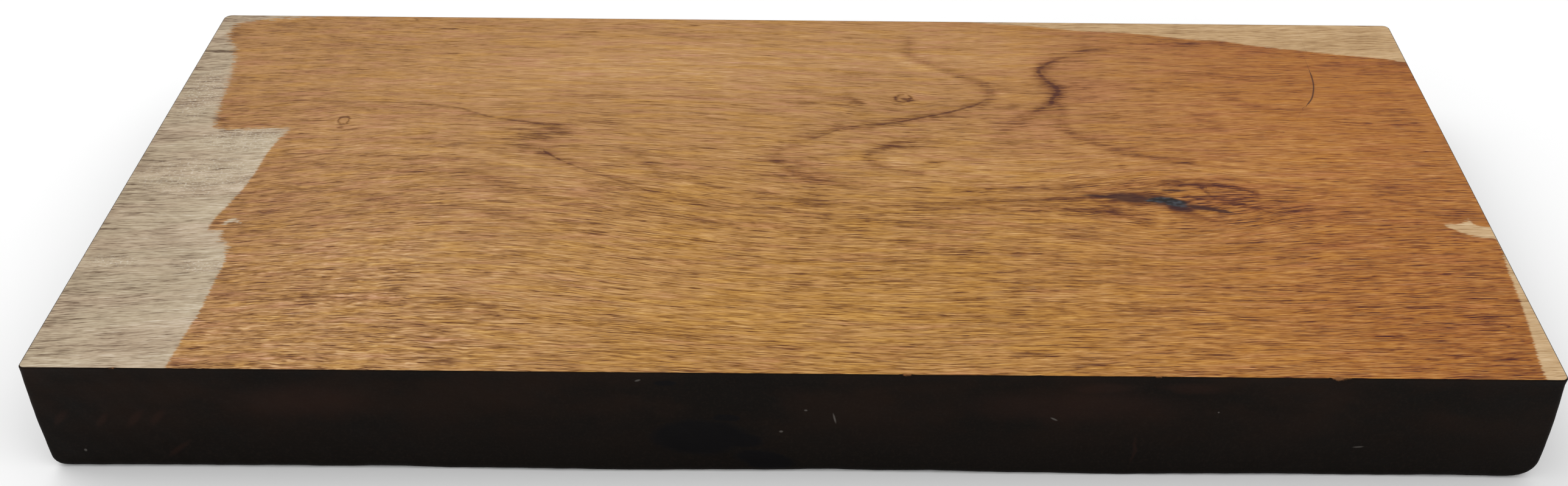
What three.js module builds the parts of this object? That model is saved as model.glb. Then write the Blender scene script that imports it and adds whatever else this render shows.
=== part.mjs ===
// Mahogany billet: one thick, wide block of sawn mahogany, planed on its top face and
// coated with dark sealer on its four sides. The solid is a stack of rounded outlines.
// Millimetres: +X runs along the grain, +Y away from the near side, +Z up.
// The origin is the middle of the underside.
import * as THREE from "three";

// Driving dimensions
const LENGTH = 500;
const WIDTH = 229;
const THICKNESS = 44.5;

// Radius of each upright edge, seen from above
const CORNER = { nearRight: 2.0, farRight: 2.5, farLeft: 3.0, nearLeft: 1.5 };

// Each side rolls under in a quarter round at its foot
const FOOT = { near: 2.2, right: 8.0, far: 3.0, left: 4.6 };

// The planed top meets the sides in a narrow eased edge
const EASED_EDGE = 0.4;

// The sawn ends are fullest at mid height, and the long sides dip inwards in slow waves
const END_SWELL = 0.7;
const SIDE_DIP = 0.5;
const SIDE_WAVE_LENGTH = 170;

// How finely the outline and the height are divided
const LONG_STEPS = 24;
const SHORT_STEPS = 12;
const CORNER_STEPS = 4;
const FOOT_HEIGHTS = [0, 0.25, 0.6, 1.2, 2.2, 3.4, 4.6, 6.2, 8];
const WALL_HEIGHTS = [14, 22.25, 30, 37];

// How far a quarter round of this radius draws the side in at height z
function footInset(radius, z) {
  if (z >= radius) return 0;
  return radius - Math.sqrt(radius * radius - (radius - z) * (radius - z));
}

// How far the eased edge draws the side in at height z
function easedInset(z) {
  return Math.max(0, z - (THICKNESS - EASED_EDGE));
}

// How far an end lies inside its fullest height at height z
function swellInset(z) {
  const offMiddle = (2 * z) / THICKNESS - 1;
  return END_SWELL * offMiddle * offMiddle;
}

// How far a long side dips inwards at this place: nothing at the planed edge
function sideDip(x, z, phase) {
  const below = Math.min(1, Math.max(0, (THICKNESS - EASED_EDGE - z) / 12));
  const wave = Math.sin((2 * Math.PI * x) / SIDE_WAVE_LENGTH + phase + z / 18);
  return SIDE_DIP * below * (0.5 + 0.5 * wave);
}

// One straight stretch of an outline, without its last point
function stretch(from, to, steps) {
  const points = [];
  for (let i = 0; i < steps; i += 1) {
    points.push(from.clone().lerp(to, i / steps));
  }
  return points;
}

// One rounded corner of an outline, without its last point
function corner(centre, radius, startAngle) {
  const points = [];
  for (let i = 0; i < CORNER_STEPS; i += 1) {
    const angle = startAngle + (Math.PI / 2) * (i / CORNER_STEPS);
    points.push(
      new THREE.Vector2(
        centre.x + radius * Math.cos(angle),
        centre.y + radius * Math.sin(angle),
      ),
    );
  }
  return points;
}

// The outline of the block at height z, anticlockwise from above
function outline(z) {
  const eased = easedInset(z);
  const inset = {
    near: footInset(FOOT.near, z) + eased,
    right: footInset(FOOT.right, z) + eased + swellInset(z),
    far: footInset(FOOT.far, z) + eased,
    left: footInset(FOOT.left, z) + eased + swellInset(z),
  };
  const near = -WIDTH / 2 + inset.near;
  const far = WIDTH / 2 - inset.far;
  const left = -LENGTH / 2 + inset.left;
  const right = LENGTH / 2 - inset.right;

  // A corner grows rounder towards the foot, as the sides beside it roll under
  const r1 = CORNER.nearRight + footInset(FOOT.right, z) / 2;
  const r2 = CORNER.farRight + footInset(FOOT.right, z) / 2;
  const r3 = CORNER.farLeft + footInset(FOOT.left, z) / 2;
  const r4 = CORNER.nearLeft + footInset(FOOT.left, z) / 2;
  const at = (x, y) => new THREE.Vector2(x, y);
  const quarter = Math.PI / 2;

  const points = [
    ...stretch(at(left + r4, near), at(right - r1, near), LONG_STEPS),
    ...corner(at(right - r1, near + r1), r1, -quarter),
    ...stretch(at(right, near + r1), at(right, far - r2), SHORT_STEPS),
    ...corner(at(right - r2, far - r2), r2, 0),
    ...stretch(at(right - r2, far), at(left + r3, far), LONG_STEPS),
    ...corner(at(left + r3, far - r3), r3, quarter),
    ...stretch(at(left, far - r3), at(left, near + r4), SHORT_STEPS),
    ...corner(at(left + r4, near + r4), r4, 2 * quarter),
  ];
  for (const p of points) {
    const side = Math.sign(p.y);
    const phase = side < 0 ? 0.9 : 3.7;
    p.y -= side * sideDip(p.x, z, phase) * Math.abs((2 * p.y) / WIDTH) ** 8;
  }
  return points;
}

// The closed body: the outlines joined by strips, with a flat underside and a flat top
function billetGeometry() {
  const heights = [
    ...FOOT_HEIGHTS,
    ...WALL_HEIGHTS,
    THICKNESS - EASED_EDGE,
    THICKNESS,
  ];
  const rings = heights.map(outline);
  const count = rings[0].length;
  const positions = [];
  rings.forEach((ring, level) => {
    for (const p of ring) positions.push(p.x, p.y, heights[level]);
  });

  const index = [];
  for (let level = 0; level + 1 < rings.length; level += 1) {
    for (let i = 0; i < count; i += 1) {
      const next = (i + 1) % count;
      const a = level * count + i;
      const b = level * count + next;
      index.push(a, b, b + count, a, b + count, a + count);
    }
  }
  const last = (rings.length - 1) * count;
  for (const [a, b, c] of THREE.ShapeUtils.triangulateShape(rings[0], [])) {
    index.push(a, c, b);
  }
  for (const [a, b, c] of THREE.ShapeUtils.triangulateShape(rings.at(-1), [])) {
    index.push(last + a, last + b, last + c);
  }

  const geometry = new THREE.BufferGeometry();
  geometry.setAttribute("position", new THREE.Float32BufferAttribute(positions, 3));
  geometry.setIndex(index);
  geometry.computeVertexNormals();
  return geometry;
}

// Orange-brown planed mahogany
const mahogany = new THREE.MeshStandardMaterial({
  color: 0xab7c4d,
  roughness: 0.55,
  metalness: 0,
});

const billet = new THREE.Mesh(billetGeometry(), mahogany);
billet.name = "billet";

const part = new THREE.Group();
part.add(billet);

export default part;
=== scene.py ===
import math

import bpy
import numpy as np
from mathutils import Matrix, Vector, noise


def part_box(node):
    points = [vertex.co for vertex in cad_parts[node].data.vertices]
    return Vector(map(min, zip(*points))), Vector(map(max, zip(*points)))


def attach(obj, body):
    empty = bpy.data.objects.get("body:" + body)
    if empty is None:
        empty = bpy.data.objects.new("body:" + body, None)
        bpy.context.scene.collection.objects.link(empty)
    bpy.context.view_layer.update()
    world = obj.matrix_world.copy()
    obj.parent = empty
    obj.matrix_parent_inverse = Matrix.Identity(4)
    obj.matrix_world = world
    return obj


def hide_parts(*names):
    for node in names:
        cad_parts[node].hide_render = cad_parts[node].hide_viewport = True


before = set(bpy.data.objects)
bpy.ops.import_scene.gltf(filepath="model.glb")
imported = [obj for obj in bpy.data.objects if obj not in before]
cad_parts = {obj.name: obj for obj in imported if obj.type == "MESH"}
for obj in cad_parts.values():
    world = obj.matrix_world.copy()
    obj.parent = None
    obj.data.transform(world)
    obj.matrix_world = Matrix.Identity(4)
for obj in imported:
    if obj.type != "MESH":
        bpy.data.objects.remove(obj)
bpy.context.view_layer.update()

# The block's size and place come from its CAD node
MM = 0.001
block_low, block_high = (np.array(c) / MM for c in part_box("billet"))
LENGTH, WIDTH, THICKNESS = (float(size) for size in block_high - block_low)
NEAR_EDGE = block_low[1]

# The edges, as on the CAD solid
CORNER = {"near_right": 2.0, "far_right": 2.5, "far_left": 3.0, "near_left": 1.5}
FOOT = {"near": 2.2, "right": 8.0, "far": 3.0, "left": 4.6}
EASED_EDGE = 0.35
END_SWELL = 0.7
SIDE_DIP = 0.5
SIDE_WAVE_LENGTH = 170.0

# Divisions of the mesh: the underside has one line for every four of the top's
GRID_X, GRID_Y = 304, 152
UNDER_STEP = 4
WALL_STEP = 2.1
WALL_TOP = THICKNESS - EASED_EDGE - 0.35
FOOT_HEIGHTS = (8.0, 6.6, 5.3, 4.2, 3.2, 2.4, 1.7, 1.1, 0.65, 0.35, 0.15, 0.04, 0.0)
# Where the grid's lines crowd together: the place, how far it reaches, and how much. The
# big knot and the wet edge at the left get more of them
CROWDED_X = [(LENGTH / 2 + 136, 34, 0.9), (LENGTH / 2 - 214, 26, 0.5)]
CROWDED_Y = [(98, 14, 0.9)]

# The map's charts: left and right, bottom and top, and the names of the four sides in order
CHARTS = {
    "top": (0.006, 0.994, 0.435, 0.99), "under": (0.006, 0.994, 0.265, 0.425),
    "near": (0.006, 0.994, 0.185, 0.255), "far": (0.006, 0.994, 0.105, 0.175),
    "right": (0.006, 0.495, 0.025, 0.095), "left": (0.505, 0.994, 0.025, 0.095),
}
SIDES = ("near", "right", "far", "left")
TOP_SLOT, SIDE_SLOT, UNDER_SLOT = 0, 1, 2

# Edge of the wet wood at the left end, from far to near
LEFT_WET_EDGE = [
    (-208, 229.5), (-211.6, 228), (-226.8, 226), (-236.6, 223.8), (-242.5, 220), (-243.6, 213.5),
    (-241.4, 207), (-237.7, 203), (-237.1, 198.3), (-234.9, 193), (-234.4, 186.4), (-232.8, 181),
    (-231.7, 172.3), (-231.1, 163.6), (-230.1, 154), (-229.5, 147.3), (-227.9, 142),
    (-222.5, 139.8), (-211.6, 140.6), (-199.7, 140.8), (-199.2, 138.7), (-201.3, 132.2),
    (-203, 122.4), (-203.5, 114), (-204.6, 104.2), (-206.8, 94.4), (-208.4, 87.9), (-210.2, 81.4),
    (-210.3, 74.9), (-205.7, 74.3), (-205.1, 70), (-201.9, 67.3), (-200.2, 61.9), (-199.2, 54.3),
    (-199.5, 41.3), (-199.7, 28.3), (-200.8, 17.4), (-201.9, 0.6), (-202, -4),
]
# Edge of the wet wood in the far right corner, from left to right
FAR_WET_EDGE = [
    (66, 230.5), (73, 228), (85, 226.5), (95.8, 225.4), (112, 222.2), (128.4, 221.1),
    (145.7, 218.9), (160.9, 215.7), (173.9, 214.6), (188, 210.8), (204.3, 207.5), (220.5, 204.3),
    (236.8, 201.6), (249.3, 198.3), (254, 197),
]
# Edge of the wet wood along the right end: a pointed notch, then a thin dry strip
RIGHT_WET_EDGE = [
    (254, 83.2), (250, 83.4), (244, 84.3), (241.6, 89.4), (240.2, 85.4), (232.4, 84.4),
    (236.8, 80.3), (242.2, 77.3), (248, 76), (248.9, 73.8), (248.7, 67.3), (247.6, 60.8),
    (246.8, 49.9), (246, 39.1), (244.9, 28.3), (243.5, 17.4), (242.2, 6.6), (241.7, 0.6),
    (241.5, -4),
]
# A splash that stayed dry inside the wet wood
DRY_NICK = [
    (-206.6, 78.2), (-205.2, 80.8), (-203.2, 81.9), (-201, 80.8), (-200.2, 78.6), (-202, 79.6),
    (-203.6, 79.9), (-205, 78.4),
]

# Growth rings as soft bands: half width, and points with how dark the band is there.
# A negative depth is a paler band
RING_BANDS = {
    "arch_left": (1.1, [(-214, 161.8, 0.3), (-166, 160.6, 0.26), (-150, 159.4, 0.36),
        (-130, 153, 0.45), (-112, 147.6, 0.6), (-104, 146.4, 0.6)]),
    "arch_haze": (3.4, [(-206, 157.6, 0.15), (-190, 157.4, 0.25), (-164, 156.8, 0.3),
        (-146, 155, 0.2)]),
    "arch_right": (1.7, [(-98, 126, 0.8), (-84, 117, 0.5), (-66, 107, 0.6), (-50, 98.6, 0.5),
        (-28, 92.4, 0.6), (-6, 89.6, 0.6), (8, 86.4, 0.8), (34, 83.6, 0.6), (50, 81.6, 0.7),
        (66, 82, 0.5), (96, 76, 0.35), (112, 72, 0.3)]),
    "arch_inner": (1.8, [(-66, 128, 0.3), (-54, 113.6, 0.6), (-44, 110.4, 0.9),
        (-28, 101.6, 0.8), (-8, 97, 0.7), (20, 93.4, 0.6), (60, 92.6, 0.5), (92, 92.4, 0.6),
        (116, 89.5, 0.6), (124, 86.6, 0.4)]),
    "second": (2, [(-196, 118, 0.3), (-150, 113, 0.38), (-136, 111.2, 0.68),
        (-122, 110.4, 0.68), (-100, 100, 0.45), (-80, 91.4, 0.52), (-72, 88.8, 0.75),
        (-62, 88, 0.6), (-52, 85.6, 0.3), (-20, 79, 0.3), (12, 75, 0.3), (42, 71, 0.6),
        (50, 67.6, 0.6), (74, 66.6, 0.6), (92, 62.6, 0.45), (130, 57.4, 0.3), (150, 55, 0.15)]),
    "upper_thin": (1.1, [(-197, 125, 0.8), (-184, 124.2, 0.5), (-138, 122, 0.5),
        (-120, 121, 0.2)]),
    "third": (1.8, [(-200, 104, 0.28), (-170, 99, 0.49), (-148, 93.2, 0.56),
        (-136, 92.4, 0.35), (-122, 90, 0.42), (-100, 83.6, 0.35), (-70, 79, 0.17)]),
    "fourth": (1.5, [(-196, 37, 0.7), (-180, 36, 0.6), (-160, 38.2, 0.65), (-142, 35.4, 0.6),
        (-118, 33, 0.7), (-92, 28.8, 0.4), (-56, 22, 0.3), (-36, 16, 0.3), (-12, 14.4, 0.5),
        (4, 13, 0.2)]),
    "fifth": (1, [(-138, 24, 0.4), (-124, 23.4, 0.5), (-104, 22, 0.5), (-88, 21.2, 0.2)]),
    "bend": (1.9, [(43, 214, 0.6), (42, 205, 0.8), (45, 198, 0.8), (62, 184.4, 0.85),
        (70, 180, 0.95), (74, 173, 1), (73.4, 166, 0.85), (68, 162.4, 0.75), (50, 154, 0.75),
        (30, 148, 0.7), (13, 144, 0.7), (-2, 134.6, 0.5), (-8, 130, 0.65), (-10, 125, 0.65),
        (-7.6, 119, 0.6), (4, 109, 0.6), (14, 106.6, 0.5), (46, 104, 0.3)]),
    "bend_shadow": (5.5, [(-2, 126, 0.3), (1, 118, 0.45), (8, 112.5, 0.45), (16, 110, 0.3)]),
    "hook": (1.6, [(48, 138.6, 0.78), (40, 136, 1.04), (33, 132.6, 1.17), (27, 128.6, 1.04),
        (24.2, 124, 1.17), (27.6, 120.4, 1.04), (34, 117.6, 0.91), (40, 115, 1.17),
        (44, 114, 1.17)]),
    "hook_inner": (1, [(54, 136, 0.24), (40, 131.2, 0.72), (31, 130, 0.72)]),
    "purple": (2.4, [(128, 207.4, 0.4), (112, 202.6, 0.8), (104, 198.6, 0.85), (98, 193, 1.1),
        (96, 188, 1.1), (97, 182, 1), (101, 176, 1.3), (102, 172, 1.45), (99.4, 167, 1.35),
        (97.6, 163, 1), (92, 159, 0.7), (80, 146, 0.55), (76, 140, 0.24)]),
    "purple_haze": (6.5, [(116, 204, 0.3), (106, 196, 0.35), (102, 186, 0.35),
        (107, 176, 0.3), (104, 166, 0.25), (94, 156, 0.15)]),
    "right_arc": (1.9, [(102, 162, 0.3), (101, 152, 0.5), (103, 143, 0.7), (110, 137, 0.8),
        (118, 131.4, 0.8), (128, 127.6, 0.8), (136, 125, 0.7), (146, 121.8, 0.4),
        (160, 120, 0.2)]),
    "far_right_arc": (1.5, [(190, 184.6, 0.3), (180, 185, 0.7), (166, 186.6, 0.6),
        (156, 184.6, 0.6), (148, 182, 0.5), (142, 177, 0.3), (138, 168, 0.2), (139, 158, 0.15)]),
    "right_soft": (2.2, [(168, 170, 0.4), (178, 163.6, 0.6), (190, 158.4, 0.5),
        (204, 155, 0.4), (214, 152, 0.2)]),
    "over_knot": (0.9, [(56, 103, 0.7), (84, 104.8, 0.9), (98, 105.6, 0.9), (108, 107.4, 0.8),
        (132, 110.4, 0.85), (150, 108.6, 0.85), (158, 108, 0.85), (168, 103, 0.5)]),
    "lead": (0.9, [(30, 92.4, 0.3), (50, 95, 0.6), (80, 97, 0.8), (94, 98.6, 1),
        (106, 99.6, 1.2), (114, 100.6, 1.2)]),
    "under_knot": (2, [(100, 91, 0.2), (110, 91, 0.4), (118, 89.4, 0.4), (126, 86, 0.2)]),
    "knot_fall": (1.3, [(148.3, 106.8, 0.5), (152.4, 100, 0.55), (156.4, 97.6, 0.45),
        (165.6, 94.5, 0.45), (176.4, 88.8, 0.4), (184, 86.6, 0.3)]),
    "knot_shade": (7, [(146, 100, 0.5), (158, 98, 0.5), (168, 96, 0.3), (180, 92, 0.2)]),
    "under_arc": (0.8, [(112, 104.8, 0.3), (127, 107.2, 0.7), (141, 108.3, 0.8),
        (160, 107, 0.85), (166.6, 104, 0.7), (168.4, 100.8, 0.4)]),
    "low_lead": (0.9, [(70, 90.4, 0.3), (84, 90.6, 0.4), (98, 90.8, 0.3), (116, 90.2, 0.1)]),
    "over_streak": (0.7, [(155, 113, 0.4), (160, 112.2, 1), (167, 110.8, 0.9)]),
    "spot_tail_upper": (1, [(-8, 178, 0.2), (2, 172.6, 0.6), (10, 168.4, 0.6), (20, 165.4, 0.9)]),
    "spot_tail_lower": (1, [(-30, 161.6, 0.3), (-12, 163, 0.5), (4, 163, 0.7), (18, 162, 1)]),
    "far_mark": (1, [(8, 188, 0.2), (16, 186.2, 0.7), (24, 185.4, 1.2), (30, 184.6, 0.9)]),
    "left_mark": (1, [(-100, 168, 0.5), (-88, 166.6, 0.7), (-80, 168, 0.7), (-66, 167, 0.5),
        (-40, 166, 0.2)]),
    "patch_tail": (1, [(-92, 147.4, 0.6), (-84, 148.6, 0.7), (-70, 149, 0.3)]),
    "low_mid": (0.9, [(28, 61.4, 0.5), (36, 60.4, 0.8), (46, 60, 0.7), (58, 58.4, 0.3)]),
    "pale_left": (2, [(-192, 128.6, -0.4), (-160, 127.4, -0.5), (-140, 126, -0.6),
        (-122, 124.4, -0.8), (-110, 118.6, -1), (-100, 113.4, -1), (-92, 110, -0.6),
        (-78, 100, -0.3), (-62, 94, -0.3)]),
    "pale_bend": (2, [(36, 199, -0.6), (44, 192.4, -0.7), (52, 187, -0.8), (60, 181.4, -0.8),
        (64, 175, -0.4)]),
    "pale_hook": (2.4, [(40, 126, -0.2), (34, 122.6, -0.8), (42, 119.4, -0.7), (54, 117, -0.4)]),
    "pale_arc": (2.4, [(100, 137, -0.7), (124, 123.4, -0.5), (140, 120, -0.5),
        (154, 116.6, -0.9), (168, 115.4, -1), (196, 111.4, -0.6), (210, 108, -0.4)]),
    "pale_low": (1.8, [(64, 79, -0.3), (92, 72, -0.8), (104, 69.4, -0.8), (134, 62, -0.4),
        (160, 59, -0.4), (180, 57.6, -0.6), (200, 57.4, -0.4)]),
}

# Fine dark lines at the heart of some rings: half width, and points with strength
RING_CORES = {
    "arch": (0.35, [(-214, 161.8, 0.18), (-192, 160.8, 0.35), (-166, 160.5, 0.26),
        (-147, 158.6, 0.61), (-138, 157.4, 0.53), (-130.5, 154.2, 0.44), (-122, 150.2, 0.61),
        (-110, 147.6, 0.79), (-102, 145.8, 0.53)]),
    "arch_fall": (0.35, [(-98, 126.4, 0.7), (-91, 120.6, 0.7), (-81, 114.4, 0.3),
        (-66, 106.6, 0.3), (-51, 98.8, 0.2), (-35, 93.8, 0.3), (-17, 90.2, 0.2)]),
    "bend": (0.4, [(73.2, 167, 0), (67.5, 162, 0.6), (57.5, 157, 0.9), (47.2, 153, 0.8),
        (36, 149, 1), (28.5, 147.6, 0.9), (19.2, 145.9, 0.6), (14.5, 144.2, 0.5),
        (7.1, 139.2, 0.3), (1.5, 135.6, 0.1), (-5.1, 132.3, 0)]),
    "purple": (0.65, [(112, 202.4, 0.1), (104.6, 198.4, 0.3), (98.4, 193.6, 0.6),
        (95.4, 190, 0.85), (95.9, 185.8, 0.6), (98.6, 180.4, 0.5), (101.6, 175.4, 0.75),
        (101.4, 171, 1), (98.6, 167.5, 0.9), (98.4, 163.6, 0.5), (94.5, 160.5, 0.3),
        (88, 155, 0.1)]),
    "lead": (0.4, [(60, 95.6, 0), (84, 97.4, 0.4), (104, 99.4, 0.7), (116, 100.6, 0.6)]),
    "over_knot": (0.35, [(124, 109, 0.2), (132, 110, 0.4), (140, 110.6, 0.4),
        (154.2, 110.7, 0.2)]),
    "under_arc": (0.4, [(128, 107.2, 0.2), (141, 108.2, 0.4), (154, 107.6, 0.5),
        (166.6, 104, 0.2)]),
    "knot_fall": (0.5, [(148.3, 106.4, 0.5), (150, 103.4, 0.5), (152.4, 99.9, 0.3),
        (161.4, 96.2, 0.3), (175.6, 88.8, 0.15)]),
}

# The fine dark hair that lies across the wet wood at the right
HAIR = [(207.2, 188.4), (206.6, 181), (205.3, 175), (203.4, 169.4), (200.9, 165.2)]

# The grain parts round the knots: the place, half sizes, and how far it is pushed
GRAIN_KNOTS = [
    (134, 98, 30, 15, 5.0), (160, 99, 20, 12, 1.2), (39.6, 166.5, 9, 6, 2.2),
    (21, 163, 8, 6, 1.5), (-179.4, 146, 7, 6, 1.5), (-100, 138, 14, 12, 2.0),
]

# Marks on the top face: place, half length along the grain, half width, and the turn in
# degrees if there is one
KNOT_EYE = [
    (131.8, 98.4, 3.6, 1.7, 4), (136.4, 97.1, 5.2, 2.4, -22), (128.8, 97.8, 2.6, 0.9),
]
KNOT_BROWN = [
    (121.4, 99.3, 9, 3, -8), (112, 100.1, 8, 1, -6), (134, 97.4, 8.6, 3.3, -16),
    (138, 94, 5, 2.6, -22), (146.6, 93.6, 6.4, 1.5, -12), (153, 91.8, 5, 1, -16),
    (138, 104.4, 4.8, 0.7),
]
KNOT_RUSSET = [
    (141.2, 89.9, 5.2, 1.9, -30), (137, 92.4, 3.4, 2, -40), (119, 96.2, 9, 1.3, -4),
    (147.6, 86.6, 5, 0.8, -20), (126, 101.4, 6, 0.8, -4), (109.4, 102.2, 8, 0.6, -4),
]
BROWN_MARKS = [
    (21.1, 162.9, 3, 2.2), (-227, 146.9, 3, 1.1, -6), (-241, 198.5, 7, 1.2),
    (-229.4, 147.8, 1.8, 0.6), (-189, 146.6, 6.6, 0.4), (-179.6, 142, 1.4, 1.1, 30),
    (-99.4, 145.2, 6.5, 1.6), (-97, 142.8, 4.5, 1.5), (-93.8, 139.8, 4, 1.1),
    (-111, 141.8, 7.5, 0.8), (-104, 138.4, 7, 0.9), (-100.6, 136.4, 5, 1.2),
    (-112, 134.8, 8, 0.5), (-108.6, 131, 5.8, 0.8), (-104.6, 128.6, 4, 1.1),
    (-98, 125, 4, 0.9, -10), (-118, 128.8, 4, 0.4), (41.4, 165.4, 2.4, 1.6, -20),
    (50, 121.8, 4, 0.9), (-72, 88.4, 3.6, 0.5), (-152, 218.8, 4, 0.7), (-146, 198.6, 3.6, 0.5),
    (-48, 223.6, 3, 0.7), (-92, 217.4, 5, 0.5), (186.7, 144.4, 0.6, 0.45),
    (-165.8, 135, 0.4, 0.5), (-167.5, 226.4, 1.4, 0.4, -35), (236.6, 27.6, 2, 0.6, -40),
    (146, 66, 8, 0.7, -3), (-112, 24.6, 4, 0.6),
]
# Thin dark pores that run out of the wet wood into the dry end
GREY_STREAKS = [
    (-237.8, 191.6, 2.6, 0.3), (-234.9, 174.3, 2.8, 0.3), (-234.1, 169.6, 3, 0.3),
    (-239.5, 149.4, 9.5, 0.42, -4), (-233, 163.4, 2, 0.25), (-231.5, 156.6, 2.2, 0.25),
    (-246, 198.6, 3.4, 0.5), (-238.4, 210.4, 2.6, 0.3), (-240.6, 203.6, 2.4, 0.3),
    (-244, 133.2, 6, 0.35, -2), (-245, 102.4, 5, 0.4), (-243, 118, 6, 0.3), (-245.4, 75, 4, 0.5),
    (-245, 90, 4, 0.35),
]
# Painted glints: white sparkles of light painted into the dry wood's colour, in a sharper zone
# and in softer ones
SPARKLES = [(-214, 133, 17, 8), (-240, 165, 7, 18)]
SOFT_SPARKLES = [(-222, 108, 22, 12), (-238, 56, 9, 3), (-207, 54, 7, 4)]
# Marks on the near side, by their place along it and their height
DRIPS = [
    (-32, 16, 15, 7.6), (-20, 14.5, 9, 3, -6), (-22.2, 24.6, 4.4, 1.6), (-10, 6, 10, 3.6, -12),
    (-42, 39.8, 3.6, 1.2),
]
RED_SMEARS = [
    (-242, 22, 3.4, 1.2, 50), (-228, 21.5, 3.4, 1.1, 50), (-217, 22.2, 4, 1.2, 50),
    (-210, 22.3, 4, 1.2, 50), (-205, 9, 4.4, 0.9, 40), (112.5, 12, 0.7, 5), (-160, 30, 20, 7),
    (100, 39, 9, 2.2), (129, 39.5, 9, 2), (90, 31, 30, 6),
]
PALE_NICKS = [
    (12.9, 24.8, 0.3, 2, 12), (-4.7, 18.6, 0.6, 0.4), (3.5, 28.2, 0.5, 0.35),
    (-50.7, 40.9, 0.9, 0.35, 20), (84.9, 25.6, 1.2, 0.3, -30), (138.6, 28.7, 0.3, 0.3),
    (187.1, 13.9, 1.6, 0.25, 4), (-236.8, 7.9, 0.45, 0.5),
]
# Rings round the two pin knots: the middle, and its half sizes
PIN_KNOTS = [(-179.3, 147.2, 2.2, 2.8), (39.4, 166.8, 3.2, 2.9)]

# Broad patches of the wet wood: place, half sizes along and across, and how much
# lighter (positive) or darker (negative) it is there
LIGHT_PATCHES = [
    (-80, 186, 100, 20, 0.12), (-205, 205, 36, 30, -0.08), (-222, 155, 22, 20, -0.12),
    (-195, 90, 18, 12, -0.12), (-197, 73, 12, 5, -0.14), (-196, 112, 12, 9, -0.08),
    (-120, 62, 60, 12, 0.05), (-130, 48, 50, 14, 0.03), (-95, 22, 24, 12, 0.06),
    (40, 158, 50, 16, -0.04), (30, 128, 50, 14, 0.06), (150, 206, 40, 10, -0.02),
    (172, 92, 36, 14, -0.08), (205, 60, 50, 40, -0.03), (225, 20, 40, 28, -0.08),
    (232, 150, 20, 16, -0.02), (236, 108, 14, 6, -0.08), (100, 118, 36, 8, 0.08),
    (-242, 214, 5, 7, -0.16), (240, 194, 24, 12, -0.10), (150, 214, 30, 5, -0.06),
    (-190, 50, 12, 14, -0.06), (60, 178, 14, 10, 0.05), (85, 204, 44, 18, 0.12),
    (-20, 205, 70, 26, 0.08), (195, 140, 44, 34, 0.10), (-165, 100, 34, 24, -0.04),
    (-98, 141, 9, 6, -0.10), (-102, 130, 10, 5, -0.08), (134, 99, 30, 9, -0.07),
    (121, 189, 6, 2.4, -0.14),
]
# Broad patches of hue: place, half sizes, and how much yellower (positive) or more
# purple (negative) the wood is there
HUE_PATCHES = [
    (-30, 28, 80, 12, 0.35), (60, 40, 70, 20, 0.30), (-120, 60, 40, 10, 0.20),
    (20, 100, 90, 12, 0.35), (80, 62, 60, 12, 0.25), (-90, 10, 40, 8, 0.30),
    (120, 20, 60, 16, 0.25), (-60, 152, 60, 22, 0.12), (190, 100, 40, 18, -0.20),
    (-4, 118, 12, 12, -0.55), (4, 108, 14, 7, -0.5), (110, 180, 16, 26, -0.45),
    (60, 146, 26, 14, -0.30), (150, 205, 30, 8, -0.4), (90, 150, 16, 12, -0.35),
    (-150, 150, 40, 8, -0.30), (-200, 150, 22, 14, -0.25), (-185, 95, 40, 22, -0.15),
    (40, 18, 30, 8, -0.30), (36, 66, 26, 8, -0.25), (-196, 196, 5, 7, -0.35),
    (150, 60, 36, 10, -0.25), (0, 165, 40, 10, -0.15), (160, 150, 30, 14, -0.25),
    (-100, 137, 12, 10, -0.6), (-112, 100, 50, 12, -0.2),
]

# Chips in the near top edge: the middle, half length, and depth
EDGE_CHIPS = [
    (36.1, 2.6, 0.55), (117.2, 3.4, 0.5), (176, 4.2, 0.8), (-218.8, 2.2, 0.45), (-131, 1.8, 0.35),
    (-62, 2.4, 0.4), (-12, 1.6, 0.3), (78, 2.2, 0.35), (212, 2, 0.4), (-171, 1.6, 0.3),
]

# The photograph's view, solved from the block's six visible corners. The frame is
# 2576 x 799 pixels and the lens axis met it right of its middle
FRAME_WIDTH = 2576
FOCAL_PIXELS = 2778.36
AXIS_PIXEL_X = 1381.52
CAMERA_PLACE = (12.47, -408.05, 360.45 + THICKNESS)
CAMERA_TURN, CAMERA_DOWN, CAMERA_ROLL = -0.2628, 37.0, -0.6622

# What the studio light makes of the top face: its strength, and the sheen that it adds
LIGHT = 1.12
SHEEN = 0.020


def srgb(red, green, blue):
    """A display colour of 0 to 255 as the linear colour that a shader takes."""
    channels = []
    for c in (red / 255, green / 255, blue / 255):
        channels.append(c / 12.92 if c <= 0.04045 else ((c + 0.055) / 1.055) ** 2.4)
    return (*channels, 1.0)


def seen(red, green, blue):
    """The albedo of wood that looks this display colour here, under light that is a
    little stronger than white and with a grey sheen over it."""
    channels = srgb(red, green, blue)[:3]
    return (*[max(0.002, (c - SHEEN) / LIGHT) for c in channels], 1.0)


def smooth_line(points, parts=5):
    """The points joined by a smooth curve, with each span cut into parts."""
    p = np.array([points[0], *points, points[-1]], dtype=float)
    steps = np.linspace(0.0, 1.0, parts, endpoint=False)[:, None]
    spans = []
    for a, b, c, d in zip(p, p[1:], p[2:], p[3:]):
        spans.append(
            0.5 * (2 * b + (c - a) * steps + (2 * a - 5 * b + 4 * c - d) * steps**2
                   + (3 * b - a - 3 * c + d) * steps**3)
        )
    return np.vstack([*spans, p[-1:]])


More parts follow.
